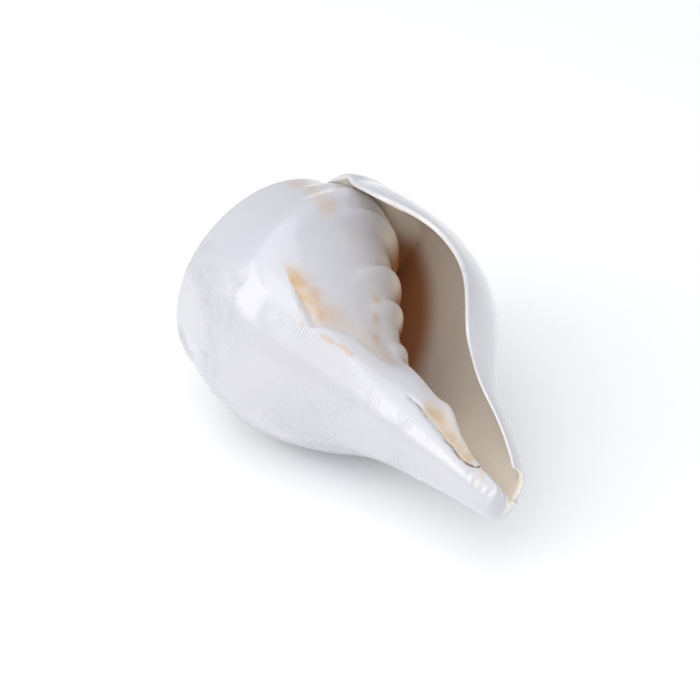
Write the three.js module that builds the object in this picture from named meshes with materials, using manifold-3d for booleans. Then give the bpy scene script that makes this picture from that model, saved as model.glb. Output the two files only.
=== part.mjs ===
// Conch shell (sacred chank), lying on its back with the mouth up. Millimetres, +Z up.
// The wall is one surface: the outline of the last whorl is swept backwards round the coiling axis
// and shrinks turn by turn. A closed loop runs at every level from the outer lip, back over the outside
// of the last whorl, over the inner lip and the pillar into the mouth, and forward again along the inside
// of the outer wall to the lip. Behind the first level the spire goes on as a spiral ribbon.
import * as THREE from 'three';
import { mergeVertices } from 'three/addons/utils/BufferGeometryUtils.js';
import Module from 'manifold-3d';

const turn = 2 * Math.PI;
const rad = THREE.MathUtils.degToRad;

// ---- driving dimensions ----

const whorlRatio = 0.63;      // size of a whorl against the next one

// The last whorl's outline at the lip, as the control points of a smooth curve from the suture (where the
// whorl meets the one before it) to the tip of the canal: radius from the axis, distance from the apex,
// and what each is multiplied by one turn further back. The first point is the suture and is worked out.
const outlinePoints = [
  { radius: 0, height: 0, radiusPerTurn: whorlRatio, heightPerTurn: whorlRatio },
  { radius: 48.5, height: 17, radiusPerTurn: whorlRatio, heightPerTurn: whorlRatio },
  { radius: 48, height: 20, radiusPerTurn: whorlRatio, heightPerTurn: whorlRatio },
  { radius: 50, height: 29.5, radiusPerTurn: whorlRatio, heightPerTurn: whorlRatio },
  { radius: 52, height: 44.5, radiusPerTurn: whorlRatio, heightPerTurn: whorlRatio },
  { radius: 47.5, height: 61.5, radiusPerTurn: whorlRatio, heightPerTurn: whorlRatio },
  { radius: 35.5, height: 77.5, radiusPerTurn: 0.7, heightPerTurn: 0.665 },
  { radius: 26, height: 90, radiusPerTurn: 0.56, heightPerTurn: 0.715 },
  { radius: 19.5, height: 100, radiusPerTurn: 0.575, heightPerTurn: 0.82 },
  { radius: 15.3, height: 115.6, radiusPerTurn: 0.46, heightPerTurn: 0.885 },
  { radius: 8.8, height: 122.9, radiusPerTurn: 0.73, heightPerTurn: 1 },
];
const bodyShare = [0, 1, 1, 1, 1, 1, 0.6, 0.2, 0, 0, 0]; // how far each point belongs to the body
const suturePlace = 0.205;    // place on the outline where the next whorl rests on it
const lipTurnedIn = 0.18;     // the last quarter turn draws in by this share of its radius
const lipTurnedDown = 0.29;   // and reaches down by this share of its distance from the apex
const lipReach = 0.25;        // turns over which it does so
const spireLift = 11;         // the spire stands this much taller than the same spiral carried on
const spireTurns = 4.2;
const liftStart = 0.8;        // turns back at which that lift begins, and how gently
const liftEase = 0.15;
const neckOffset = [-4, -2.5];                  // the canal's middle beside the axis
const neckStart = 0.5;        // the neck leans aside from this place on, over this much of the outline
const neckSpan = 0.4;
const tipSlant = 1.9;         // the canal's end is cut back this much under the outer lip
const slantStart = 0.88;
const slantAngle = -70;
const lipAngles = [-4, -4, -2, 3, -13, -10, 11, 5, -3, 1, -3];   // edge of the outer lip, degrees
const bodyWall = 2.8;
const canalWall = 1.5;
const rimBulge = 0.6;         // the canal's rim is rounded by this much
const lipEdgeShare = 0.62;    // thickness left at the edge of the lip
const lipEdgeTurn = 16;       // degrees over which the lip thins to that
const callusOnWhorl = 0.12;   // callus in the mouth's upper corner: outline places on the whorl before
const callusOnWall = 0.2;     // and on the inside of the outer wall
const callusStart = 4;        // degrees behind the lip by which it is full
const callusOnLevels = [0.3, 0.4];              // share of the levels it takes up on each side
const callusThins = [35, 50, 0.6];              // where it thins again, over what, and by what share
const cornerFade = 0.07;      // share of the levels in which the wall leaves the corner
const mouthDepth = 230;       // how far round the body's hollow reaches behind the lip, degrees
const canalDepth = 112;       // and the canal's
const innerLipAngle = -345;   // where the pillar's edge turns over into the canal, degrees
const innerLipTurn = 26;      // and over how many
const canalStart = 0.76;      // place from which the pillar is hollowed into the canal, and over what
const canalSpan = 0.12;
const canalHollow = [0.42, 0.75];               // share of the radius hollowed out, early and at the tip
// Broad swellings and hollows of the pillar, and its folds: place on the outline, height, half width
const pillarSwells = [
  [0.4, 3.2, 0.06], [0.5, -1.5, 0.06], [0.59, -3.2, 0.06], [0.68, -3.4, 0.06], [0.77, -4, 0.06],
];
const pillarFolds = [[0.457, 2.4, 0.018], [0.6, 2.4, 0.015], [0.681, 2.2, 0.018], [0.772, 1.2, 0.018]];
const swellSpan = 60;         // the swellings rise over this many degrees inside the mouth
const foldStart = -330;
const foldSpan = 45;
const innerLipAtTip = 38;     // the edge turns back by this much towards the canal's tip
const innerLipTipStart = 0.92;
const padHeight = 2.6;        // pad of callus on the whorl, just inside the lip's upper end
const padPlaces = [0.21, 0.06, 0.33, 0.1];      // where it rises and over what, and where it falls
const padTurn = { angle: -368, half: 16 };
// The lip's upper end is ground down, and the inner lip has a knob near the tip
const lipGround = { angle: -4, place: 0.1, height: 1.9, halfAngle: 24, halfPlace: 0.07 };
const ridgeKnob = { angle: -350, place: 0.925, height: 2, halfAngle: 25, halfPlace: 0.02 };
const restRoll = 64.5;        // turn about the coiling axis that brings the mouth up, degrees
const restDip = 2.4;          // the canal's tip points down by this, degrees
const wornDepth = 0.6;        // depth of the worn flat that the back rests on

// ---- mesh steps ----

const stepsPerTurn = 56;
const halfLoop = 44;          // steps from the lip to the inner lip, and as many back through the mouth
const levels = 46;
const ribbonSteps = 4;

const smooth = (value) => THREE.MathUtils.smoothstep(value, 0, 1);
const { lerp } = THREE.MathUtils;

// A height times a bell in both directions.
const hill = (at, angle, place) => {
  const around = (angle - rad(at.angle)) / rad(at.halfAngle);
  const along = (place - at.place) / at.halfPlace;
  return at.height * Math.exp(-(around ** 2) - along ** 2);
};

// Weights of the control points of a smooth cubic curve that starts and ends on its end points.
function curveWeights(place, count) {
  const spans = count - 3;
  const knots = [0, 0, 0];
  for (let i = 0; i <= spans; i++) knots.push(i / spans);
  knots.push(1, 1, 1);
  const x = THREE.MathUtils.clamp(place, 0, 1 - 1e-12);
  let weights = knots.slice(1).map((knot, i) => (x >= knots[i] && x < knot ? 1 : 0));
  for (let degree = 1; degree <= 3; degree++) {
    weights = weights.slice(1).map((next, i) => {
      const rise = knots[i + degree] - knots[i];
      const fall = knots[i + degree + 1] - knots[i + 1];
      const up = rise > 0 ? ((x - knots[i]) / rise) * weights[i] : 0;
      const down = fall > 0 ? ((knots[i + degree + 1] - x) / fall) * next : 0;
      return up + down;
    });
  }
  return weights;
}

const sutureWeights = curveWeights(suturePlace, outlinePoints.length);

function freePoints(turnsBack) {
  const past = Math.max(turnsBack - liftStart, 0);
  const lift = spireLift * (1 - whorlRatio ** ((past * past) / (past + liftEase)));
  return outlinePoints.map((point, i) => {
    const near = bodyShare[i] * Math.exp(-turnsBack / lipReach);
    const radius = point.radius * point.radiusPerTurn ** turnsBack * (1 - lipTurnedIn * near);
    const height = point.height * point.heightPerTurn ** turnsBack * (1 + lipTurnedDown * near);
    return [radius, height - lift * bodyShare[i]];
  });
}

// Control points a number of turns behind the lip: the suture lies on the whorl before.
function controlPoints(turnsBack) {
  const points = freePoints(turnsBack);
  const before = freePoints(turnsBack + 1);
  points[0] = [0, 1].map((k) => sutureWeights.reduce((sum, weight, i) => sum + weight * before[i][k], 0));
  return points;
}

// Radius and distance from the apex at an angle (0 at the lip, less behind it) and a place on the outline.
function outline(angle, place) {
  const points = controlPoints(-angle / turn);
  const weights = curveWeights(place, points.length);
  const [radius, height] = [0, 1].map((k) =>
    weights.reduce((sum, weight, i) => sum + weight * points[i][k], 0),
  );
  return [radius - hill(lipGround, angle, place) * smooth(place / suturePlace), height];
}

// The same, moved inwards by the wall's thickness along the outline's normal.
function innerOutline(angle, place, wall) {
  const step = 1e-4;
  const [radius, height] = outline(angle, place);
  const ahead = outline(angle, Math.min(place + step, 1));
  const behind = outline(angle, Math.max(place - step, 0));
  const across = ahead[0] - behind[0];
  const along = ahead[1] - behind[1];
  const length = Math.hypot(across, along);
  return [radius - (wall * along) / length, height + (wall * across) / length];
}

// A point of the shell as it lies: the coiling axis runs along +X to the canal's tip and dips a little.
const lie = new THREE.Matrix4()
  .makeRotationY(rad(restDip))
  .multiply(new THREE.Matrix4().makeRotationX(rad(restRoll)));
function point(angle, radius, height, place) {
  const neck = smooth((place - neckStart) / neckSpan);
  const slanted = tipSlant * smooth((place - slantStart) / (1 - slantStart));
  const x = height - slanted * (0.5 + 0.5 * Math.cos(angle - rad(slantAngle)));
  const y = radius * Math.cos(angle) + neckOffset[0] * neck;
  const z = radius * Math.sin(angle) + neckOffset[1] * neck;
  return new THREE.Vector3(x, y, z).applyMatrix4(lie);
}

const lipAngle = (level) => {
  const weights = curveWeights(level, lipAngles.length);
  return rad(lipAngles.reduce((sum, angle, i) => sum + angle * weights[i], 0));
};
const lipTop = rad(lipAngles[0]);
const ridgeAngle = lipTop - (turn * halfLoop) / stepsPerTurn;
const callusShare = (inward) => {
  const [start, span, share] = callusThins;
  return smooth(inward / rad(callusStart)) * (1 - share * smooth((inward - rad(start)) / rad(span)));
};
const cornerPlace = (inward) => suturePlace + callusOnWhorl * callusShare(inward);
const swell = (list, place) =>
  list.reduce((sum, [at, high, half]) => sum + high * Math.exp(-(((place - at) / half) ** 2)), 0);

// Outside of the last whorl, from the lip back to the inner lip.
function outerPart(level) {
  const points = [];
  for (let i = 0; i <= halfLoop; i++) {
    const back = i / stepsPerTurn;
    const angle = lipTop - turn * back + (lipAngle(level) - lipTop) * (1 - smooth(back / 0.5));
    const place = level + (1 - level) * suturePlace * back;
    points.push(point(angle, ...outline(angle, place), place));
  }
  return points;
}

// The same outline carried on as the pillar: hollowed into the canal past the inner lip, with its folds.
function pillarOutline(angle, place) {
  const [radius, height] = outline(angle, place);
  const share = lerp(...canalHollow, smooth((place - canalStart) / (1 - canalStart)));
  const canal = smooth((place - canalStart) / canalSpan) * share;
  const edge = innerLipAngle + innerLipAtTip * smooth((place - innerLipTipStart) / (1 - innerLipTipStart));
  const hollowed = radius * (1 - canal * smooth((rad(edge) - angle) / rad(innerLipTurn)));
  const swells = swell(pillarSwells, place) * smooth((ridgeAngle - angle) / rad(swellSpan));
  const folds = swell(pillarFolds, place) * smooth((rad(foldStart) - angle) / rad(foldSpan));
  const knob = hill(ridgeKnob, angle, place);
  const [rise, riseSpan, fall, fallSpan] = padPlaces;
  const padded = smooth((place - rise) / riseSpan) * (1 - smooth((place - fall) / fallSpan));
  const pad = padHeight * padded * Math.exp(-(((angle - rad(padTurn.angle)) / rad(padTurn.half)) ** 2));
  return [hollowed + swells + folds + knob + pad, height];
}

// Inner lip, the earlier whorl's wall in the mouth, and the pillar.
function pillarPoint(level, angle) {
  const back = Math.min((lipTop - angle) / turn, 1);
  const filled = callusOnWhorl * callusShare(lipTop - turn - angle) * (1 - smooth(level / callusOnLevels[0]));
  const place = level + (1 - level) * suturePlace * back + filled;
  return point(angle, ...pillarOutline(angle, place), place);
}

// Inside of the outer wall; at the first level it meets the earlier whorl.
function wallPoint(level, angle) {
  const inward = lipAngle(level) - angle;
  const place = level + callusOnWall * callusShare(inward) * (1 - smooth(level / callusOnLevels[1]));
  const edge = lerp(lipEdgeShare, 1, smooth(inward / rad(lipEdgeTurn)));
  const wall = lerp(bodyWall, canalWall, smooth((place - 0.5) / 0.45)) * edge;
  const inner = innerOutline(angle, place, wall);
  const corner = pillarOutline(angle - turn, cornerPlace(lipTop - angle));
  const away = smooth(level / cornerFade);
  return point(angle, lerp(corner[0], inner[0], away), lerp(corner[1], inner[1], away), place);
}

function loop(level) {
  const points = outerPart(level);
  const upToCorner = stepsPerTurn - halfLoop;
  const deepSteps = (halfLoop - upToCorner - 2) / 2;
  const deepEnd = -rad(lerp(mouthDepth, canalDepth, smooth((level - 0.45) / 0.5)));
  for (let i = 1; i <= upToCorner; i++) {
    points.push(pillarPoint(level, ridgeAngle - (turn * i) / stepsPerTurn));
  }
  for (let i = 1; i <= deepSteps; i++) {
    points.push(pillarPoint(level, lerp(lipTop - turn, deepEnd - turn, i / deepSteps)));
  }
  const lastOfPillar = points.at(-1);
  const firstOfWall = wallPoint(level, deepEnd);
  points.push(lastOfPillar.clone().lerp(firstOfWall, 0.5), firstOfWall);
  for (let i = 1; i <= deepSteps; i++) {
    points.push(wallPoint(level, lerp(deepEnd, lipAngle(level), i / deepSteps)));
  }
  return points;
}

// One row of loops per level; a last row closes the canal's rim along the middle of its thickness.
function wallRows() {
  const rows = [];
  for (let i = 0; i < levels; i++) rows.push(loop(i / (levels - 1)));
  const last = rows.at(-1);
  const outwards = new THREE.Vector3(rimBulge, 0, 0);
  rows.push(last.map((p, i) => p.clone().lerp(last[last.length - 1 - i], 0.5).add(outwards)));
  return rows.map((row) => [...row, row[0]]);
}

// The spire: from the mouth's corner back round the axis, between each whorl's suture and the next's.
function spireRows() {
  const rows = [];
  for (let i = 0; i <= Math.round(spireTurns * stepsPerTurn); i++) {
    const angle = lipTop - (turn * i) / stepsPerTurn;
    const width = suturePlace * Math.min(i / stepsPerTurn, 1);
    const row = [];
    for (let j = ribbonSteps; j >= 0; j--) {
      const place = (width * j) / ribbonSteps;
      row.push(point(angle, ...outline(angle, place), place));
    }
    rows.push(row);
  }
  return rows;
}

function addGrid(positions, rows) {
  for (let i = 0; i + 1 < rows.length; i++) {
    for (let j = 0; j + 1 < rows[i].length; j++) {
      const corners = [rows[i][j], rows[i + 1][j], rows[i + 1][j + 1], rows[i][j + 1]];
      for (const k of [0, 1, 2, 0, 2, 3]) positions.push(...corners[k].toArray());
    }
  }
}

// The apex is closed with a fan over the smallest turn.
function addApex(positions, rows) {
  const ring = rows.slice(-stepsPerTurn - 1).map((row) => row[ribbonSteps]);
  ring.push(...rows.at(-1).slice(0, ribbonSteps).reverse());
  const middle = ring.reduce((sum, p) => sum.add(p), new THREE.Vector3()).divideScalar(ring.length);
  middle.x -= 0.25;
  ring.forEach((p, i) => {
    const next = ring[(i + 1) % ring.length];
    positions.push(...p.toArray(), ...next.toArray(), ...middle.toArray());
  });
}

function closedSolid(positions) {
  const open = new THREE.BufferGeometry();
  open.setAttribute('position', new THREE.Float32BufferAttribute(positions, 3));
  const merged = mergeVertices(open, 1e-3);
  const kept = [];
  const index = merged.index.array;
  for (let i = 0; i < index.length; i += 3) {
    const [a, b, c] = index.slice(i, i + 3);
    if (a !== b && b !== c && c !== a) kept.push(a, b, c);
  }
  merged.setIndex(kept);
  return merged;
}

const wasm = await Module();
wasm.setup();
const toManifold = (geometry) => {
  const vertProperties = new Float32Array(geometry.attributes.position.array);
  const triVerts = new Uint32Array(geometry.index.array);
  return new wasm.Manifold(new wasm.Mesh({ numProp: 3, vertProperties, triVerts }));
};

// Takes off all that lies below a height, which leaves the worn flat.
function wearFlat(geometry, height) {
  const slab = new THREE.BoxGeometry(300, 300, 40);
  slab.translate(0, 0, height - 20);
  slab.deleteAttribute('normal');
  slab.deleteAttribute('uv');
  const worn = toManifold(geometry).subtract(toManifold(mergeVertices(slab))).getMesh();
  const result = new THREE.BufferGeometry();
  result.setAttribute('position', new THREE.BufferAttribute(worn.vertProperties, 3));
  result.setIndex(new THREE.BufferAttribute(worn.triVerts, 1));
  return result;
}

const spire = spireRows();
const positions = [];
addGrid(positions, wallRows());
addGrid(positions, spire);
addApex(positions, spire);
const whole = closedSolid(positions);
whole.computeBoundingBox();
const shellGeometry = wearFlat(whole, whole.boundingBox.min.z + wornDepth);

// The origin is under the middle of the box, on the surface that the shell lies on.
shellGeometry.computeBoundingBox();
const { min, max } = shellGeometry.boundingBox;
shellGeometry.translate(-(min.x + max.x) / 2, -(min.y + max.y) / 2, -min.z);
shellGeometry.computeVertexNormals();

const polishedShell = new THREE.MeshStandardMaterial({ color: 0xe4e2e4, roughness: 0.28, metalness: 0 });
const shell = new THREE.Mesh(shellGeometry, polishedShell);
shell.name = 'shell';

const group = new THREE.Group();
group.add(shell);
export default group;
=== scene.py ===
# Conch shell (sacred chank), polished, lying on its back with the mouth up on a pale floor.
# Shapes are worked out in millimetres and degrees, and turned to metres when they become a mesh.
import math

import bmesh
import bpy
import numpy as np
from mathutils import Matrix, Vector


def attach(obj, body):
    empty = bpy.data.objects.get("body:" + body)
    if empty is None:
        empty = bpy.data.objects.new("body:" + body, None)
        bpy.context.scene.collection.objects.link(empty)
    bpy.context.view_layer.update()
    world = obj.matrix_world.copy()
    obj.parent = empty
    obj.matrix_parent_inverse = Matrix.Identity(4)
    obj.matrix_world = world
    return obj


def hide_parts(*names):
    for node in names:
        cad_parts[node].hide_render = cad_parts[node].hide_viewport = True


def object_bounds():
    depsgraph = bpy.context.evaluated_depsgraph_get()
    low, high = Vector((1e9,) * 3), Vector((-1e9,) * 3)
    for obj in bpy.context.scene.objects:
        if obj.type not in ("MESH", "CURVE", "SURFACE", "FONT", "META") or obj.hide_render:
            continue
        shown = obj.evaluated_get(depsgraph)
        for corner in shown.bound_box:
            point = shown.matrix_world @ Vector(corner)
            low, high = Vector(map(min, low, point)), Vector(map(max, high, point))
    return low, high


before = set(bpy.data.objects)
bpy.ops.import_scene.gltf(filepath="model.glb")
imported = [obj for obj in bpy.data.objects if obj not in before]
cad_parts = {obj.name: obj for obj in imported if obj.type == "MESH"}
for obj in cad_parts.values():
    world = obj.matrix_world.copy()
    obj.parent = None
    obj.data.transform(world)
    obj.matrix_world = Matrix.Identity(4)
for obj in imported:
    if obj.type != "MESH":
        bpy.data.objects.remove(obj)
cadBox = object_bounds()
print("frame loaded")

shellShape = {
    # control points of the last whorl's outline at the lip, from the suture to the tip of the canal:
    # radius, distance from the apex, and what each is multiplied by one turn further back
    "outline": [
        (0, 0, 0.63, 0.63), (48.5, 17, 0.63, 0.63), (48, 20, 0.63, 0.63), (50, 29.5, 0.63, 0.63),
        (52, 44.5, 0.63, 0.63), (47.5, 61.5, 0.63, 0.63), (35.5, 77.5, 0.7, 0.665),
        (26, 90, 0.56, 0.715), (19.5, 100, 0.575, 0.82), (15.3, 115.6, 0.46, 0.885),
        (8.8, 122.9, 0.73, 1),
    ],
    "bodyShare": [0, 1, 1, 1, 1, 1, 0.6, 0.2, 0, 0, 0],  # how far each point belongs to the body
    "whorlRatio": 0.63,
    "suturePlace": 0.205,      # place on the outline where the next whorl rests
    "lipTurnedIn": 0.18,       # the last quarter turn draws in and reaches down by these shares
    "lipTurnedDown": 0.29,
    "lipReach": 0.25,          # turns
    "spireLift": 11,           # mm that the spire stands taller than the plain spiral
    "spireTurns": 4.2,
    "liftStart": 0.8,          # turns
    "liftEase": 0.15,
    "neckOffset": (-4, -2.5),
    "neckStart": 0.5,          # the neck leans aside from this place on, over this much of the outline
    "neckSpan": 0.4,
    "tipSlant": 1.9,           # mm that the canal's end is cut back under the outer lip
    "slantStart": 0.88,
    "slantAngle": -70,
    "lipAngles": [-4, -4, -2, 3, -13, -10, 11, 5, -3, 1, -3],  # edge of the lip, from suture to tip
    "bodyWall": 2.8,
    "canalWall": 1.5,
    "wallThins": (0.5, 0.45),  # where the wall thins towards the canal, and over how much of the outline
    "lipEdgeShare": 0.62,      # thickness left at the edge of the lip, and how far in it is whole again
    "lipEdgeTurn": 16,
    "callusOnWhorl": 0.12,     # the mouth's upper corner is filled: outline places on the whorl before
    "callusOnWall": 0.2,       # and on the inside of the outer wall
    "callusLevels": (0.3, 0.4),    # share of the levels it takes up on each side
    "callusStart": 4,          # degrees behind the lip by which it is full, and where it thins again
    "callusThins": (35, 50, 0.6),  # degrees in, over how many, and by what share
    "cornerFade": 0.07,        # share of the levels in which the wall leaves the corner
    "mouthDepth": 230,         # degrees behind the lip that the hollow reaches, in the body and the canal
    "canalDepth": 112,
    "depthChange": (0.45, 0.5),
    "canalStart": 0.76,        # place from which the pillar is hollowed into the canal, over what, how far
    "canalSpan": 0.12,
    "canalHollow": (0.42, 0.75),
    "innerLipAngle": -345,     # where the pillar's edge turns over into the canal, and how fast
    "innerLipTurn": 26,
    # broad swellings and hollows of the pillar, and its folds: place, height, half width
    "pillarSwells": [
        (0.4, 3.2, 0.06), (0.5, -1.5, 0.06), (0.59, -3.2, 0.06), (0.68, -3.4, 0.06), (0.77, -4, 0.06),
    ],
    "pillarFolds": [(0.457, 2.4, 0.018), (0.6, 2.4, 0.015), (0.681, 2.2, 0.018), (0.772, 1.2, 0.018)],
    "innerLipAtTip": 38,       # the edge turns back by this much towards the canal's tip
    "innerLipTipStart": 0.92,
    "padHeight": 2.6,          # pad of callus on the whorl, just inside the lip's upper end
    "padPlaces": (0.21, 0.06, 0.33, 0.1),      # where it rises and over what, and where it falls
    "padTurn": (-368, 16),     # its middle and half width
    "lipGround": (-4, 0.1, -1.9, 24, 0.07),    # the lip's upper end is ground down: as ridgeKnob
    "swellSpan": 60,           # degrees over which the swellings rise inside the mouth
    "foldStart": -330,
    "foldSpan": 45,
    "ridgeKnob": (-350, 0.925, 2, 25, 0.02),   # swelling of the inner lip: angle, place, height, half widths
    "restRoll": 64.5,
    "restDip": 2.4,
    "wornDepth": 0.6,
}
shellMesh = {
    "stepsPerTurn": 260,
    "loopSteps": 204,          # from the lip to the inner lip, and as many back through the mouth
    "levels": 200,
    "rimSteps": 4,             # rounding of the canal's rim
    "lipSteps": 6,             # rounding of the outer lip
    "ribbonSteps": 6,
    "crowding": 0.2,           # the levels stand closer by this share half way on from the place below
    "crowdingShift": 0.2,
    "weldDistance": 2e-6,      # metres
    "slivers": 1e-7,
    "apexRise": 0.25,          # mm that the apex stands past its last ring
    "lipBulge": 0.9,           # 1 is a half circle
    "rimBulge": 0.8,
}
shellRelief = {
    "facetLength": 11.5,       # worn flats on the shoulder, mm along the whorl
    "facetDepth": 0.34,
    "facetRadius": 47,         # radius of the shoulder, mm
    "facetWander": (0.35, 31),     # their lengths vary: share of a flat, degrees
    "facetPlaces": (0.06, 0.1, 0.3, 0.16),     # where they rise and over what, and where they fade
    "facetTurns": (60, 60, 225, 50),           # the same in degrees behind the lip
    "waveDepth": 0.06,         # low growth waves
    "wavePlaces": (0, 0.12, 0.9, 0.1),  # places where they rise and fade
    "waves": [(9.7, 5, 1, 0), (4.3, 9, 0.7, 1), (2.2, 0, 0.5, 0)],    # degrees, slant, share, start
    "waveLip": 12,             # degrees over which they rise behind the lip, and where they fade
    "waveEnd": (240, 40),
}

# paths on the surface are lists of (degrees round the axis, place on the outline)
shellMarks = {
    # hollow under the callus: its sharp upper edge, its depth, how far it reaches, and its stain
    "wedgeEdge": [
        (-303, 0.5), (-301.7, 0.513), (-298.9, 0.548), (-296.2, 0.583), (-293.4, 0.611),
        (-290.6, 0.638), (-296.2, 0.655), (-298.9, 0.671), (-301.7, 0.686), (-305.8, 0.708),
        (-308.6, 0.729), (-312.8, 0.753), (-316.9, 0.784), (-326, 0.82),
    ],
    "wedgeDepth": 1.1,
    "wedgeReach": 4.5,         # mm
    "wedgeStep": (0.8, 1.6),   # mm: how far before the edge it starts to fall, and over what width
    "wedgeSpan": (0.5, 0.62, 0.84),    # places where it starts, is deepest, and has gone
    "wedgeTan": [
        (-302.5, 0.535), (-302, 0.567), (-302, 0.593), (-300, 0.633), (-307.2, 0.672),
        (-311.4, 0.713), (-316.9, 0.755), (-328, 0.785),
    ],
    "wedgeTanHalf": 3.6,
    "wedgePaler": (0.6, 0.09, 0.68),   # place where the stain pales, over what, and by what share
    "hairLine": [(-291, 0.665), (-292, 0.687), (-294.8, 0.706), (-296.2, 0.737)],
    "earLine": [(-294.8, 0.586), (-290.6, 0.598), (-287.8, 0.618)],
    "topStain": [(-344.5, 0.19), (-347, 0.23), (-346, 0.28), (-343, 0.36), (-341.8, 0.42)],
    "topStainHalf": 2.8,
    "foldStains": [(-352, 0.665), (-343, 0.7), (-330, 0.735)],
    "foldStainHalf": 1.8,
    # crack beside the inner lip, and the hollow between it and the lip
    "crack": [
        (-309.5, 0.872), (-311.2, 0.886), (-310.6, 0.898), (-307.6, 0.908), (-307.2, 0.921),
        (-304.5, 0.937), (-300.8, 0.944), (-301.7, 0.952), (-298.9, 0.957), (-295.5, 0.965),
        (-298.9, 0.976), (-307.2, 0.982), (-318, 0.984),
    ],
    "crackGap": (0.91, 0.004, 0.934, 0.004),   # it closes between these places
    "gapWidth": 3,
    # its inner side stands lower: share of the hollow, start, width and reach of the step in mm
    "crackStep": (0.6, 0.4, 0.9, 2.2),
    "crackGroove": (0.3, 0.7),     # mm deep, and its half width
    "crackPlaces": (0.86, 0.04, 0.965, 0.03),  # where the step rises and fades
    "crackTurns": (285, 8),
    "crackDot": (-318.5, 0.984),
    "crackBranch": [(-317, 0.986), (-296, 0.99), (-278, 0.988)],
    "fossa": [
        (-322.5, 0.905), (-320.5, 0.925), (-317, 0.941), (-312.8, 0.953), (-308.6, 0.965),
        (-307, 0.972),
    ],
    "fossaHalf": 2.5,
    "fossaDepth": 0.72,
    "blemish": (-219.5, 0.726),
    "lipSpecks": [(-7, 0.338), (-10, 0.385), (-7, 0.5), (2, 0.759)],
    "wallLine": [(-66, 0.384), (-76, 0.43), (-79, 0.461), (-79, 0.537)],
    "farthest": 9,             # mm beyond which a distance no longer counts
    # the brown inside of the mouth (partly the shell's own brown, partly painted shade of the deep mouth)
    # starts this many degrees in, at the corner and at the middle
    "brownShadeStart": (38, 112),
    "brownShadeCorner": (0.15, 0.4),        # places over which that changes
    "brownShadeSpread": 26,
    "brownShadePlaces": (0.64, 0.16),       # where it ends towards the canal, and over what
    "brownShadeOnPillar": (394, 24),
    # the pillar turns cream from this many degrees in, painted paler than its own tone as painted light
    # bounced into the mouth
    "creamLightOnPillar": (372, 24),
    "threadTurns": (40, 40, 284, 10),  # degrees behind the lip where the threads rise and fade
}


def smooth(value):  # 0 below 0, 1 above 1, and a soft S between
    value = np.clip(value, 0, 1)
    return value * value * (3 - 2 * value)


def curveWeights(place, count):
    # weights of the control points of a smooth cubic curve that starts and ends on its end points:
    # the usual recursion that blends each degree's weights from the degree below
    place = np.asarray(place, float)
    knots = np.concatenate([np.zeros(3), np.linspace(0, 1, count - 2), np.ones(3)])
    x = np.clip(place, 0, 1 - 1e-12)[..., None]
    weights = ((x >= knots[:-1]) & (x < knots[1:])).astype(float)
    for degree in (1, 2, 3):
        low, high = knots[: -degree - 1], knots[degree + 1 :]
        rise = knots[degree:-1] - low
        fall = high - knots[1:-degree]
        up = (x - low) / np.where(rise > 0, rise, 1) * (rise > 0)
        down = (high - x) / np.where(fall > 0, fall, 1) * (fall > 0)
        weights = up * weights[..., :-1] + down * weights[..., 1:]
    return weights


outlinePoints = np.array(shellShape["outline"], float)
bodyShare = np.array(shellShape["bodyShare"])
sutureWeights = curveWeights(shellShape["suturePlace"], len(outlinePoints))


def freePoints(turnsBack):
    # each control point shrinks by its own ratio per turn; near the lip the body draws in and reaches
    # down, and past the last whorl the spire is lifted
    s = shellShape
    turnsBack = np.asarray(turnsBack, float)[..., None]
    past = np.maximum(turnsBack - s["liftStart"], 0)
    lift = s["spireLift"] * (1 - s["whorlRatio"] ** (past * past / (past + s["liftEase"])))
    near = bodyShare * np.exp(-turnsBack / s["lipReach"])
    radius = outlinePoints[:, 0] * outlinePoints[:, 2] ** turnsBack * (1 - s["lipTurnedIn"] * near)
    height = outlinePoints[:, 1] * outlinePoints[:, 3] ** turnsBack * (1 + s["lipTurnedDown"] * near)
    return radius, height - lift * bodyShare


def bell(distance, half):
    return np.exp(-((distance / half) ** 2))


def hill(name, angle, place):  # height times a bell in both directions
    atAngle, atPlace, high, halfAngle, halfPlace = shellShape[name]
    return high * bell(angle - atAngle, halfAngle) * bell(place - atPlace, halfPlace)


def outline(angle, place):
    # radius and distance from the apex at an angle (0 at the lip, less behind it) and a place on the
    # outline: the weighted sum of the control points, the first of which lies on the whorl before
    angle, place = np.broadcast_arrays(np.asarray(angle, float), np.asarray(place, float))
    radius, height = freePoints(-angle / 360)
    radiusBefore, heightBefore = freePoints(1 - angle / 360)
    radius[..., 0] = radiusBefore @ sutureWeights
    height[..., 0] = heightBefore @ sutureWeights
    weights = curveWeights(place, len(outlinePoints))
    ground = hill("lipGround", angle, place) * smooth(place / shellShape["suturePlace"])
    return (radius * weights).sum(-1) + ground, (height * weights).sum(-1)


def raisedOutline(angle, place, out):  # the outline moved outwards along its normal
    step = 1e-4
    radius, height = outline(angle, place)
    radiusAhead, heightAhead = outline(angle, np.minimum(place + step, 1))
    radiusBehind, heightBehind = outline(angle, np.maximum(place - step, 0))
    across = radiusAhead - radiusBehind
    along = heightAhead - heightBehind
    length = np.hypot(across, along)
    return radius + out * along / length, height - out * across / length


def shellPoint(angle, radius, height, place):
    # the coiling axis lies along X with the apex at 0; the neck leans aside, then the shell is rolled
    # about its axis and dipped towards the canal
    s = shellShape
    neck = smooth((place - s["neckStart"]) / s["neckSpan"])
    slanted = smooth((place - s["slantStart"]) / (1 - s["slantStart"]))
    height = height - s["tipSlant"] * slanted * (0.5 + 0.5 * np.cos(np.radians(angle - s["slantAngle"])))
    y = radius * np.cos(np.radians(angle)) + s["neckOffset"][0] * neck
    z = radius * np.sin(np.radians(angle)) + s["neckOffset"][1] * neck
    roll, dip = math.radians(s["restRoll"]), math.radians(s["restDip"])
    y, z = y * math.cos(roll) - z * math.sin(roll), y * math.sin(roll) + z * math.cos(roll)
    x = height * math.cos(dip) + z * math.sin(dip)
    return np.stack([x, y, z * math.cos(dip) - height * math.sin(dip)], -1)


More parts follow.
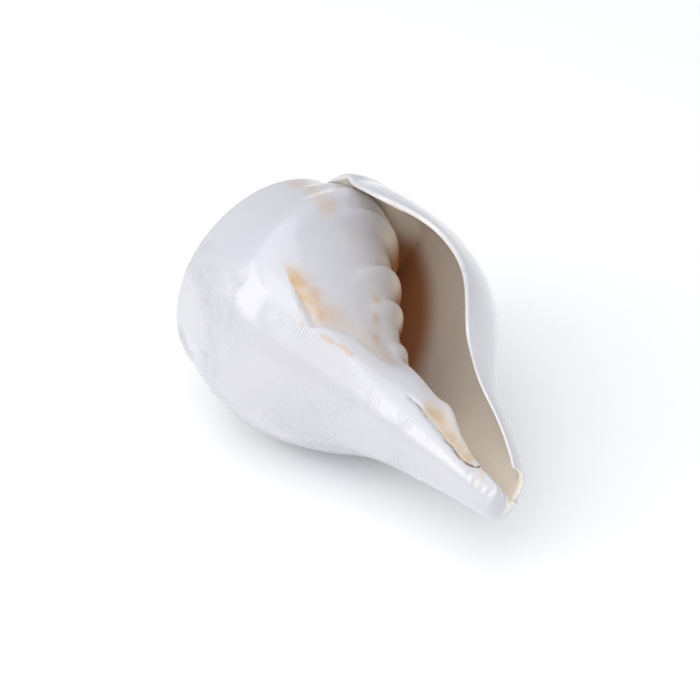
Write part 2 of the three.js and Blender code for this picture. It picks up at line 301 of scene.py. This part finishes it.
lipTop = shellShape["lipAngles"][0]
ridgeAngle = lipTop - 360 * shellMesh["loopSteps"] / shellMesh["stepsPerTurn"]


def lipAngle(level):
    return curveWeights(level, len(shellShape["lipAngles"])) @ np.array(shellShape["lipAngles"], float)


def callusShare(inward):  # callus fills the mouth's upper corner soon behind the lip and thins deeper in
    start, span, share = shellShape["callusThins"]
    return smooth(inward / shellShape["callusStart"]) * (1 - share * smooth((inward - start) / span))


def cornerPlace(inward):
    return shellShape["suturePlace"] + shellShape["callusOnWhorl"] * callusShare(inward)


def plateau(value, rise, riseSpan, fall, fallSpan):  # rises softly to 1 and falls softly to 0 again
    return smooth((value - rise) / riseSpan) * (1 - smooth((value - fall) / fallSpan))


def outsideRelief(angle, place):
    # worn flats round the shoulder (how far a chord lies inside its arc) and low growth waves
    r = shellRelief
    wander, wanderTurn = r["facetWander"]
    around = -np.radians(angle) * r["facetRadius"] / r["facetLength"] + wander * np.sin(angle / wanderTurn)
    flats = -r["facetDepth"] * (1 - (2 * np.mod(around, 1) - 1) ** 2)
    flats = flats * plateau(place, *r["facetPlaces"]) * plateau(-angle, *r["facetTurns"])
    waves = 0
    for turn, slant, share, start in r["waves"]:
        waves = waves + share * np.sin(angle / turn + slant * place + start)
    end, endSpan = r["waveEnd"]
    away = plateau(place, *r["wavePlaces"]) * smooth((lipTop - angle) / r["waveLip"])
    return flats + r["waveDepth"] * waves * away * (1 - smooth((-angle - end) / endSpan))


def outsideGrid(level):
    # outside of the last whorl, from the lip back to the inner lip, one column per step of angle
    s = shellShape
    back = np.arange(shellMesh["loopSteps"] + 1)[None] / shellMesh["stepsPerTurn"]
    angle = lipTop - 360 * back + (lipAngle(level) - lipTop) * (1 - smooth(back / 0.5))
    place = level + (1 - level) * s["suturePlace"] * back
    radius, height = raisedOutline(angle, place, outsideRelief(angle, place) + markRelief(angle, place))
    return angle, place, shellPoint(angle, radius, height, place)


def pillarGrid(level, deepEnd):
    # inner lip, the earlier whorl's wall in the mouth, and the pillar: the same outline carried on,
    # hollowed into the canal past the inner lip, with its folds as smooth swellings
    s = shellShape
    upToCorner = shellMesh["stepsPerTurn"] - shellMesh["loopSteps"]
    deepSteps = (shellMesh["loopSteps"] - upToCorner - 2) // 2
    first = ridgeAngle - 360 * np.arange(1, upToCorner + 1)[None] / shellMesh["stepsPerTurn"]
    share = np.arange(1, deepSteps + 1)[None] / deepSteps
    last = (lipTop - 360) * (1 - share) + (deepEnd - 360) * share
    angle = np.concatenate([np.broadcast_to(first, (len(level), upToCorner)), last], 1)
    back = np.clip((lipTop - angle) / 360, 0, 1)
    filled = s["callusOnWhorl"] * callusShare(lipTop - 360 - angle)
    filled = filled * (1 - smooth(level / s["callusLevels"][0]))
    place = level + (1 - level) * s["suturePlace"] * back + filled
    radius, height = pillarOutline(angle, place)
    radius = radius + markRelief(angle, place)
    return angle, place, shellPoint(angle, radius, height, place)


def pillarOutline(angle, place):
    # the last whorl's outline carried on as the pillar: hollowed into the canal past the inner lip, with
    # broad swellings and narrow folds that rise inside the mouth
    s = shellShape
    radius, height = outline(angle, place)
    early, late = s["canalHollow"]
    hollow = early + (late - early) * smooth((place - s["canalStart"]) / (1 - s["canalStart"]))
    canal = hollow * smooth((place - s["canalStart"]) / s["canalSpan"])
    tip = smooth((place - s["innerLipTipStart"]) / (1 - s["innerLipTipStart"]))
    edge = s["innerLipAngle"] + s["innerLipAtTip"] * tip
    radius = radius * (1 - canal * smooth((edge - angle) / s["innerLipTurn"]))
    broad = (s["pillarSwells"], ridgeAngle, s["swellSpan"])
    narrow = (s["pillarFolds"], s["foldStart"], s["foldSpan"])
    for swells, start, span in (broad, narrow):
        inside = smooth((start - angle) / span)
        for at, high, half in swells:
            radius = radius + high * bell(place - at, half) * inside
    padAngle, padHalf = s["padTurn"]
    pad = s["padHeight"] * plateau(place, *s["padPlaces"]) * bell(angle - padAngle, padHalf)
    return radius + hill("ridgeKnob", angle, place) + pad, height


def wallGrid(level, deepEnd):
    # inside of the outer wall, from its deep end forward to the lip: the outline moved inwards by the
    # wall's thickness, which meets the earlier whorl at the first level
    s = shellShape
    upToCorner = shellMesh["stepsPerTurn"] - shellMesh["loopSteps"]
    deepSteps = (shellMesh["loopSteps"] - upToCorner - 2) // 2
    share = np.arange(deepSteps + 1)[None] / deepSteps
    angle = deepEnd + (lipAngle(level) - deepEnd) * share
    inward = lipAngle(level) - angle
    place = level + s["callusOnWall"] * callusShare(inward) * (1 - smooth(level / s["callusLevels"][1]))
    edge = s["lipEdgeShare"] + (1 - s["lipEdgeShare"]) * smooth(inward / s["lipEdgeTurn"])
    thins, thinsSpan = s["wallThins"]
    wall = s["bodyWall"] + (s["canalWall"] - s["bodyWall"]) * smooth((place - thins) / thinsSpan)
    radius, height = raisedOutline(angle, place, -wall * edge)
    cornerRadius, cornerHeight = pillarOutline(angle - 360, cornerPlace(lipTop - angle))
    away = smooth(level / s["cornerFade"])
    radius = cornerRadius + (radius - cornerRadius) * away
    height = cornerHeight + (height - cornerHeight) * away
    return angle, place, shellPoint(angle, radius, height, place)


def roundedEdge(start, end, outwards, steps, bulge):
    # half a circle from one edge to the other, bulging outwards
    turn = np.linspace(0, math.pi, steps + 2)[1:-1][None, :, None]
    middle, half = (start + end)[:, None] / 2, (start - end)[:, None] / 2
    size = np.linalg.norm(half, axis=-1, keepdims=True)
    return middle + half * np.cos(turn) + bulge * size * outwards[:, None] * np.sin(turn)


def wallSurface():
    # every level is one closed loop: outside, pillar, deep end, inside of the wall, rounded lip
    m = shellMesh
    share = np.linspace(0, 1, m["levels"])
    crowd, shift, turn = m["crowding"] / (2 * math.pi), m["crowdingShift"], 2 * math.pi
    level = (share + crowd * (np.sin(turn * (share - shift)) + math.sin(turn * shift)))[:, None]
    start, span = shellShape["depthChange"]
    reach = smooth((level - start) / span)
    deepEnd = -(shellShape["mouthDepth"] * (1 - reach) + shellShape["canalDepth"] * reach)
    parts = [outsideGrid(level), pillarGrid(level, deepEnd), wallGrid(level, deepEnd)]
    outside, pillar, wall = [part[2] for part in parts]
    deep = (pillar[:, -1:] + wall[:, :1]) / 2
    forward = outside[:, 0] - outside[:, 1]
    forward /= np.linalg.norm(forward, axis=-1, keepdims=True)
    lip = roundedEdge(wall[:, -1], outside[:, 0], forward, m["lipSteps"], m["lipBulge"])
    points = np.concatenate([outside, pillar, deep, wall, lip], 1)
    steps = m["lipSteps"]
    angle, place = [
        np.concatenate([
            parts[0][k], parts[1][k], parts[1][k][:, -1:], parts[2][k],
            np.repeat(parts[2][k][:, -1:], steps, 1)], 1)
        for k in (0, 1)
    ]
    zone = np.concatenate([
        np.zeros(outside.shape[1]), np.ones(pillar.shape[1]), np.full(1 + wall.shape[1], 2.0),
        np.linspace(2, 0, steps + 2)[1:-1]])
    zone = np.broadcast_to(zone, angle.shape)
    # the canal's rim: each loop's far edge is paired with the near one and rounded over
    main = points.shape[1] - steps
    order = np.concatenate([np.arange(main)[::-1], main + np.arange(steps)[::-1]])
    last = points[-1]
    middle = (last + last[order]) / 2
    size = np.linalg.norm(last - middle, axis=-1, keepdims=True)
    rim = []
    outwards = np.array([m["rimBulge"], 0, 0]) * size
    for quarter in np.linspace(0, math.pi / 2, m["rimSteps"] + 1)[1:]:
        rim.append(middle + (last - middle) * math.cos(quarter) + outwards * math.sin(quarter))
    count = len(rim)
    points = np.concatenate([points, np.array(rim)])
    angle = np.concatenate([angle, np.repeat(angle[-1:], count, 0)])
    place = np.concatenate([place, np.repeat(place[-1:], count, 0)])
    zone = np.concatenate([zone, np.repeat(zone[-1:], count, 0)])
    return points, angle, place, zone


def spireSurface():
    # the spire: a ribbon between each whorl's suture and the next's, wound back to the apex
    steps = np.arange(round(shellShape["spireTurns"] * shellMesh["stepsPerTurn"]) + 1)
    angle = lipTop - 360 * steps[:, None] / shellMesh["stepsPerTurn"]
    width = shellShape["suturePlace"] * np.clip(steps[:, None] / shellMesh["stepsPerTurn"], 0, 1)
    place = width * np.linspace(1, 0, shellMesh["ribbonSteps"] + 1)[None]
    angle = np.broadcast_to(angle, place.shape)
    radius, height = raisedOutline(angle, place, outsideRelief(angle, place))
    return shellPoint(angle, radius, height, place), angle, place, np.zeros(place.shape)


def localScale(angle, place):
    # millimetres per degree round the axis and per unit of place, where each point lies
    step = 1e-3
    radius, height = outline(angle, place)
    radiusAhead, heightAhead = outline(angle, np.minimum(place + step, 1))
    radiusBehind, heightBehind = outline(angle, np.maximum(place - step, 0))
    along = np.hypot(radiusAhead - radiusBehind, heightAhead - heightBehind)
    return radius * math.pi / 180, along / (np.minimum(place + step, 1) - np.maximum(place - step, 0))


def fromPath(angle, place, scale, path):
    # distance in mm to a path on the surface, positive on its left hand as it runs (angle to the right,
    # place upwards): the nearest of the distances to its pieces, measured in the surface's own scale
    best = np.full(angle.shape, 1e6)
    side = np.ones(angle.shape)
    for (angleA, placeA), (angleB, placeB) in zip(path[:-1], path[1:]):
        runX, runY = (angleB - angleA) * scale[0], (placeB - placeA) * scale[1]
        x, y = (angle - angleA) * scale[0], (place - placeA) * scale[1]
        share = np.clip((x * runX + y * runY) / (runX * runX + runY * runY), 0, 1)
        away = np.hypot(x - share * runX, y - share * runY)
        nearer = away < best
        best = np.where(nearer, away, best)
        side = np.where(nearer, np.sign(runX * y - runY * x + 1e-9), side)
    return best * side


def fromSpots(angle, place, scale, spots):
    distances = [np.hypot((angle - a) * scale[0], (place - p) * scale[1]) for a, p in spots]
    return np.minimum.reduce(distances)


def stepDown(inside, before, width, reach):  # 1 inside an edge, running out over its reach, 0 outside
    return smooth((inside + before) / width) * np.exp(-np.maximum(inside, 0) / reach)


def markRelief(angle, place):
    # hollows round the inner lip: a step down on one side of the wedge's edge that runs out over its
    # reach, a soft trough along the fossa, a small step down from the crack and a groove along it
    m = shellMarks
    scale = localScale(angle, place)
    start, deepest, gone = m["wedgeSpan"]
    share = plateau(place, start, deepest - start, deepest, gone - deepest)
    wedgeSide = fromPath(angle, place, scale, m["wedgeEdge"])
    wedge = m["wedgeDepth"] * share * stepDown(wedgeSide, *m["wedgeStep"], m["wedgeReach"])
    crackSide = fromPath(angle, place, scale, m["crack"])
    turns, turnSpan = m["crackTurns"]
    along = plateau(place, *m["crackPlaces"]) * smooth((-angle - turns) / turnSpan)
    step, before, width, reach = m["crackStep"]
    fossa = m["fossaDepth"] * bell(fromPath(angle, place, scale, m["fossa"]), m["fossaHalf"])
    fossa = fossa + step * m["fossaDepth"] * stepDown(crackSide, before, width, reach) * along
    groove, grooveHalf = m["crackGroove"]
    crack = groove * bell(crackSide, grooveHalf)
    return -(wedge + fossa + crack)


def gridFaces(rows, columns, first, closed):
    index = first + np.arange(rows * columns).reshape(rows, columns)
    if closed:
        index = np.concatenate([index, index[:, :1]], 1)
    corners = [index[:-1, :-1], index[1:, :-1], index[1:, 1:], index[:-1, 1:]]
    return np.stack([corner.ravel() for corner in corners], 1)


def makeShell():
    wallPoints, wallAngle, wallPlace, wallZone = wallSurface()
    spirePoints, spireAngle, spirePlace, spireZone = spireSurface()
    rows, columns = wallAngle.shape
    spireRows, spireColumns = spireAngle.shape
    points = np.concatenate([wallPoints.reshape(-1, 3), spirePoints.reshape(-1, 3)])
    angle = np.concatenate([wallAngle.ravel(), spireAngle.ravel()])
    place = np.concatenate([wallPlace.ravel(), spirePlace.ravel()])
    zone = np.concatenate([wallZone.ravel(), spireZone.ravel()])
    faces = [gridFaces(rows, columns, 0, True), gridFaces(spireRows, spireColumns, rows * columns, False)]

    # centred over the floor as the frame is, with its lowest part worn flat
    box = np.array(cadBox) * 1000
    low, high = points.min(0), points.max(0)
    shift = (box[0] + box[1]) / 2 - (low + high) / 2
    shift[2] = -low[2] - shellShape["wornDepth"]
    points = points + shift
    points[:, 2] = np.maximum(points[:, 2], 0)

    # the apex is closed with a fan over the smallest turn
    turnSteps = shellMesh["stepsPerTurn"]
    spireIndex = rows * columns + np.arange(spireRows * spireColumns).reshape(spireRows, spireColumns)
    ring = np.concatenate([spireIndex[-turnSteps - 1 :, -1], spireIndex[-1, -2::-1]])
    apex = points[ring].mean(0) - np.array([shellMesh["apexRise"], 0, 0])
    points = np.concatenate([points, apex[None]])
    angle, place, zone = [np.append(values, values[-1]) for values in (angle, place, zone)]
    fan = np.stack([ring, np.roll(ring, -1), np.full(len(ring), len(points) - 1)], 1)

    mesh = bpy.data.meshes.new("shell_surface")
    quads = np.concatenate(faces)
    loops = np.concatenate([quads.ravel(), fan.ravel()])
    sizes = np.concatenate([np.full(len(quads), 4), np.full(len(fan), 3)])
    starts = np.concatenate([[0], np.cumsum(sizes)[:-1]])
    mesh.vertices.add(len(points))
    mesh.vertices.foreach_set("co", (points / 1000).ravel())
    mesh.loops.add(len(loops))
    mesh.loops.foreach_set("vertex_index", loops)
    mesh.polygons.add(len(sizes))
    mesh.polygons.foreach_set("loop_start", starts)
    mesh.update(calc_edges=True)

    # the map that follows the surface: turns round the axis, and place on the outline
    spiral = mesh.uv_layers.new(name="spiral")
    uv = np.stack([angle[loops] / 360, place[loops]], 1)
    spiral.data.foreach_set("uv", uv.ravel())
    for name, values in surfaceMasks(angle, place, zone).items():
        mesh.attributes.new(name, "FLOAT", "POINT").data.foreach_set("value", values)

    work = bmesh.new()
    work.from_mesh(mesh)
    bmesh.ops.remove_doubles(work, verts=work.verts, dist=shellMesh["weldDistance"])
    bmesh.ops.dissolve_degenerate(work, edges=work.edges, dist=shellMesh["slivers"])
    bmesh.ops.recalc_face_normals(work, faces=work.faces)
    for face in work.faces:
        face.smooth = True
    openEdges = sum(1 for edge in work.edges if not edge.is_manifold)
    work.to_mesh(mesh)
    work.free()
    shell = bpy.data.objects.new("polished_shell_surface", mesh)
    bpy.context.scene.collection.objects.link(shell)
    print("shell:", len(mesh.polygons), "faces,", openEdges, "open edges")
    return shell


def surfaceMasks(angle, place, zone):
    # where each colour lies, per vertex: soft shares from 0 to 1, and distances in mm to lines, which the
    # material turns into sharp edges; zone 0 is the outside, 1 the pillar, 2 the inside of the wall
    m = shellMarks
    scale = localScale(angle, place)
    onWall = smooth((zone - 0.5) / 1.2) * (1 - (zone == 1))
    onPillar = (1 - np.clip(np.abs(zone - 1), 0, 1)) * (zone > 0)
    outer = 1 - onWall

    def along(name):  # signed distance to one of the paths
        return fromPath(angle, place, scale, m[name])

    def stain(distance, half, where=outer):
        return bell(distance, m[half]) * where

    def limited(distance, where=outer):
        return np.where(where > 0.5, np.minimum(distance, m["farthest"]), m["farthest"])

    def fadeIn(name):  # from so many degrees behind the lip on
        start, span = m[name]
        return smooth((-angle - start) / span)

    # brown of the deep mouth, on the wall and deep on the pillar: partly the shell's own colour, partly
    # painted shade
    corner, middle = m["brownShadeStart"]
    rises, risesSpan = m["brownShadeCorner"]
    ends, endsSpan = m["brownShadePlaces"]
    start = corner + (middle - corner) * smooth((place - rises) / risesSpan)
    brownWithPaintedShade = smooth((-angle - start) / m["brownShadeSpread"]) * onWall + fadeIn("brownShadeOnPillar") * onPillar
    pales, palesSpan, share = m["wedgePaler"]
    paler = 1 - share * smooth((place - pales) / palesSpan)
    crackSide = along("crack")
    crack = np.abs(crackSide) + m["gapWidth"] * plateau(place, *m["crackGap"])
    specks = fromSpots(angle, place, scale, m["lipSpecks"] + [m["blemish"]])
    return {
        "brownWithPaintedShade": brownWithPaintedShade * (1 - smooth((place - ends) / endsSpan)),
        # cream inside the mouth: its own colour painted paler as painted light
        "creamWithPaintedLight": np.maximum(onWall, fadeIn("creamLightOnPillar") * onPillar),
        "wedgeTan": stain(along("wedgeTan"), "wedgeTanHalf") * paler,
        "topTan": stain(along("topStain"), "topStainHalf"),
        "foldTan": stain(fromSpots(angle, place, scale, m["foldStains"]), "foldStainHalf"),
        "fossaTan": stain(along("fossa"), "fossaHalf"),
        "threaded": plateau(-angle, *m["threadTurns"]) * outer,
        "wedgeSide": np.clip(along("wedgeEdge"), -m["farthest"], m["farthest"]),
        "crackSide": np.clip(crackSide, -m["farthest"], m["farthest"]),
        "crack": limited(crack),
        "dot": limited(fromSpots(angle, place, scale, [m["crackDot"]])),
        "branch": limited(np.abs(along("crackBranch"))),
        "hair": limited(np.minimum(np.abs(along("hairLine")), np.abs(along("earLine")))),
        "wallLine": limited(np.abs(along("wallLine")), onWall),
        "speck": np.minimum(specks, m["farthest"]),
    }


def linear(hexColour):  # sRGB hex to linear colour
    parts = [int(hexColour[i : i + 2], 16) / 255 for i in (0, 2, 4)]
    return tuple(c / 12.92 if c <= 0.04045 else ((c + 0.055) / 1.055) ** 2.4 for c in parts) + (1.0,)


def addNode(tree, kind, settings=None, inputs=None):
    # adds a node, sets its properties, and sets or links its inputs
    made = tree.nodes.new(kind)
    for name, value in (settings or {}).items():
        setattr(made, name, value)
    for name, value in (inputs or {}).items():
        if isinstance(value, bpy.types.NodeSocket):
            tree.links.new(value, made.inputs[name])
        else:
            made.inputs[name].default_value = value
    return made


shellFinish = {
    "white": "c8c7cb",
    "coolWhite": "c4c4cc",     # faint blue of the thick last whorl
    # cream of the mouth's inside, painted paler than its own tone as painted light bounced into the mouth
    "creamWithPaintedLight": "f1e9dd",
    # brown of the deep mouth, partly painted shade
    "brownWithPaintedShade": "bb7f55",
    "tan": "be9a70",
    "paleTan": "c8aa8e",
    "fossa": "b6986c",
    "crack": "5e3b25",
    "dot": "8a4f1e",
    "wallLine": "ddd6cc",
    "speck": "8d7a68",
    "cloudSize": 35.7,         # mm: faint clouding, worn patches, ragged edges, breaks in threads, grain
    "wornSize": 18.2,
    "raggedSize": 3.85,
    "breakSize": 2.38,
    "grainSize": 1.11,
    "ragged": 2.4,             # how far the edges of stains and cracks wander, mm
    "threadCount": 136,        # spiral threads from suture to tip, about 1.1 mm apart
    "threadDepth": 0.075,      # mm
    "growthDepth": 0.05,
    "growthStretch": (90, 6),  # growth marks per turn, and along the outline
    "grainDepth": 0.01,
    "crackDepth": 0.2,
    "roughness": 0.3,
    "stainRoughness": 0.25,    # added where it is stained
    "cloudRoughness": 0.15,
    "coatRoughness": 0.1,
}


def makePolishedShell():
    # milky white shell (aragonite) ground and polished: the softbox lies in it as a bright patch broken by
    # fine threads, the recesses keep a dull tan stain, and the mouth turns cream (painted paler as painted
    # light) and then brown (partly painted shade)
    f = shellFinish
    material = bpy.data.materials.new("polishedShell")
    material.use_nodes = True
    tree = material.node_tree
    tree.nodes.clear()

    def mask(name):
        return addNode(tree, "ShaderNodeAttribute", {"attribute_name": name}).outputs["Fac"]

    def calculate(operation, a, b=0.0):
        return addNode(tree, "ShaderNodeMath", {"operation": operation}, {0: a, 1: b}).outputs[0]

    def product(first, *others):
        for other in others:
            first = calculate("MULTIPLY", first, other)
        return first

    def between(value, low, high, toLow=0.0, toHigh=1.0):  # soft step from one value to another
        ends = {"Value": value, "From Min": low, "From Max": high, "To Min": toLow, "To Max": toHigh}
        return addNode(tree, "ShaderNodeMapRange", {"interpolation_type": "SMOOTHSTEP"}, ends).outputs[0]

    def mixColour(share, a, b):
        return addNode(tree, "ShaderNodeMix", {"data_type": "RGBA"}, {0: share, 6: a, 7: b}).outputs[2]

    def noise(size, detail):  # clouds of a size in mm
        inputs = {"Scale": 1000 / size, "Detail": detail, "Vector": place}
        return addNode(tree, "ShaderNodeTexNoise", None, inputs).outputs["Fac"]

    def line(name, wander, full, gone):  # 1 on a line of the mask's distances, gone past so many mm
        return between(calculate("ADD", mask(name), wander), full, gone, 1.0, 0.0)

    place = addNode(tree, "ShaderNodeTexCoord").outputs["Object"]
    spiral = addNode(tree, "ShaderNodeUVMap", {"uv_map": "spiral"}).outputs[0]
    spiralParts = addNode(tree, "ShaderNodeSeparateXYZ", None, {0: spiral})
    around, along = spiralParts.outputs["X"], spiralParts.outputs["Y"]
    clouds = noise(f["cloudSize"], 4.0)
    fine = noise(f["raggedSize"], 5.0)
    ragged = product(calculate("SUBTRACT", fine, 0.5), f["ragged"])
    wander = product(ragged, 0.35)

    # the ground colour, and soft stains in the recesses
    colour = mixColour(between(clouds, 0.35, 0.65), linear(f["white"]), linear(f["coolWhite"]))
    # the mouth's cream, painted paler than the shell's own tone as painted light
    colour = mixColour(mask("creamWithPaintedLight"), colour, linear(f["creamWithPaintedLight"]))
    topStain = product(mask("topTan"), between(fine, 0.3, 0.6, 0.25, 0.75))
    colour = mixColour(topStain, colour, linear(f["paleTan"]))
    colour = mixColour(product(mask("foldTan"), 0.55), colour, linear(f["tan"]))

    # stains that stop sharply: the small hollow's at the crack, and the wedge's at its edge
    crackEdge = between(calculate("ADD", mask("crackSide"), product(ragged, 0.2)), -0.2, 0.3)
    fossaStain = product(mask("fossaTan"), crackEdge, between(fine, 0.25, 0.6, 0.5, 0.85))
    colour = mixColour(fossaStain, colour, linear(f["fossa"]))
    wedgeEdge = between(calculate("ADD", mask("wedgeSide"), product(ragged, 0.3)), -0.1, 0.5)
    wedge = product(mask("wedgeTan"), wedgeEdge, between(fine, 0.25, 0.65, 0.5, 1.0))
    colour = mixColour(wedge, colour, linear(f["tan"]))

    # fine lines, the brown depth of the mouth (partly painted shade), the crack and a few specks
    colour = mixColour(product(line("hair", ragged, 0.1, 0.9), 0.6), colour, linear(f["paleTan"]))
    colour = mixColour(mask("brownWithPaintedShade"), colour, linear(f["brownWithPaintedShade"]))
    colour = mixColour(product(line("wallLine", 0.0, 0.2, 0.7), 0.7), colour, linear(f["wallLine"]))
    colour = mixColour(product(line("branch", ragged, 0.2, 1.6), 0.45), colour, linear(f["paleTan"]))
    crackLine = line("crack", wander, 0.04, 0.27)
    dot = line("dot", wander, 0.3, 0.9)
    colour = mixColour(product(crackLine, 0.85), colour, linear(f["crack"]))
    colour = mixColour(product(dot, 0.8), colour, linear(f["dot"]))
    colour = mixColour(product(line("speck", wander, 0.05, 0.4), 0.7), colour, linear(f["speck"]))

    # fine spiral threads, polished away in places, over faint growth marks
    wave = calculate("SINE", product(along, f["threadCount"] * 2 * math.pi))
    worn = between(noise(f["wornSize"], 3.0), 0.38, 0.62)
    broken = between(noise(f["breakSize"], 3.0), 0.3, 0.7, 0.3, 1.0)
    threads = product(wave, worn, mask("threaded"), broken, f["threadDepth"] / 1000)
    perTurn, perOutline = f["growthStretch"]
    stretched = addNode(tree, "ShaderNodeCombineXYZ", None, {
        "X": product(around, perTurn), "Y": product(along, perOutline)}).outputs[0]
    growth = addNode(tree, "ShaderNodeTexNoise", None, {"Scale": 1.0, "Detail": 4.0, "Vector": stretched})
    marks = product(growth.outputs["Fac"], f["growthDepth"] / 1000)
    grain = product(noise(f["grainSize"], 2.0), f["grainDepth"] / 1000)
    cut = product(calculate("MAXIMUM", crackLine, dot), -f["crackDepth"] / 1000)
    height = calculate("ADD", calculate("ADD", threads, marks), calculate("ADD", grain, cut))
    bump = addNode(tree, "ShaderNodeBump", None, {"Height": height, "Distance": 1.0, "Strength": 1.0})

    # dull where stained, and in the brown of the deep mouth, which is partly painted shade
    stained = calculate("MAXIMUM", calculate("MAXIMUM", wedge, fossaStain), mask("brownWithPaintedShade"))
    dull = calculate("ADD", f["roughness"], product(stained, f["stainRoughness"]))
    cloudy = product(calculate("SUBTRACT", clouds, 0.5), f["cloudRoughness"])
    surface = addNode(tree, "ShaderNodeBsdfPrincipled", None, {
        "Base Color": colour, "Roughness": calculate("ADD", dull, cloudy),
        "Normal": bump.outputs[0], "Coat Normal": bump.outputs[0],
        "IOR": 1.53, "Coat Weight": 1.0, "Coat Roughness": f["coatRoughness"],
        "Subsurface Weight": 0.25, "Subsurface Radius": (1.0, 0.8, 0.7), "Subsurface Scale": 0.0015,
    })
    addNode(tree, "ShaderNodeOutputMaterial", None, {"Surface": surface.outputs[0]})
    return material


def makeFloorPaint():
    # matt white paper
    material = bpy.data.materials.new("mattPaper")
    material.use_nodes = True
    surface = material.node_tree.nodes["Principled BSDF"]
    surface.inputs["Base Color"].default_value = linear("fbfbfb")
    surface.inputs["Roughness"].default_value = 0.9
    surface.inputs["Specular IOR Level"].default_value = 0.2
    return material


shell = makeShell()
shell.data.materials.append(makePolishedShell())
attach(shell, "root")
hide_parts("shell")

studio = {
    "floorSize": 6.0,
    "lookAt": (-0.002, -0.0069, 0.0414),    # middle of the view
    "azimuth": 55.5,           # of the camera, degrees; 0 looks along +Y
    "elevation": 37.4,
    "distance": 0.65,
    "lens": 119.3,
    # azimuth, elevation, distance, size and power of each light
    "lights": {
        "softbox": (-12, 34, 1.0, (0.4, 0.55), 1.9),
        "overhead": (15, 72, 1.3, (1.2, 1.2), 4.5),
        "fill": (42, 44, 1.2, (1.2, 1.2), 4.5),
    },
    "lightsLookAt": (0, 0, 0.03),
    "skyColour": (0.95, 0.97, 1, 1),
    "skyStrength": 0.72,
}


def direction(azimuth, elevation):
    a, e = math.radians(azimuth), math.radians(elevation)
    return Vector((math.sin(a) * math.cos(e), -math.cos(a) * math.cos(e), math.sin(e)))


def aim(thing, towards):  # turns a light or camera, which look along -Z, to a point
    thing.rotation_euler = (towards - thing.location).to_track_quat("-Z", "Y").to_euler()


def addLight(name, azimuth, elevation, distance, size, power):
    data = bpy.data.lights.new(name, "AREA")
    data.shape = "RECTANGLE"
    data.size, data.size_y = size
    data.energy = power
    light = bpy.data.objects.new(name, data)
    bpy.context.scene.collection.objects.link(light)
    middle = Vector(studio["lightsLookAt"])
    light.location = middle + direction(azimuth, elevation) * distance
    aim(light, middle)


def makeStudio():
    s = studio
    half = s["floorSize"] / 2
    mesh = bpy.data.meshes.new("floor")
    corners = [(-half, -half, 0), (half, -half, 0), (half, half, 0), (-half, half, 0)]
    mesh.from_pydata(corners, [], [(0, 1, 2, 3)])
    floor = bpy.data.objects.new("floor", mesh)
    mesh.materials.append(makeFloorPaint())
    bpy.context.scene.collection.objects.link(floor)
    world = bpy.data.worlds.new("studio")
    bpy.context.scene.world = world
    world.use_nodes = True
    sky = world.node_tree.nodes["Background"]
    sky.inputs["Color"].default_value = s["skyColour"]
    sky.inputs["Strength"].default_value = s["skyStrength"]
    for name, settings in s["lights"].items():
        addLight(name, *settings)
    camera = bpy.data.objects.new("camera", bpy.data.cameras.new("camera"))
    bpy.context.scene.collection.objects.link(camera)
    camera.data.sensor_width = 36
    camera.data.lens = s["lens"]
    camera.location = Vector(s["lookAt"]) + direction(s["azimuth"], s["elevation"]) * s["distance"]
    aim(camera, Vector(s["lookAt"]))
    bpy.context.scene.camera = camera
    bpy.context.scene.view_settings.view_transform = "Standard"


makeStudio()
print("studio set")
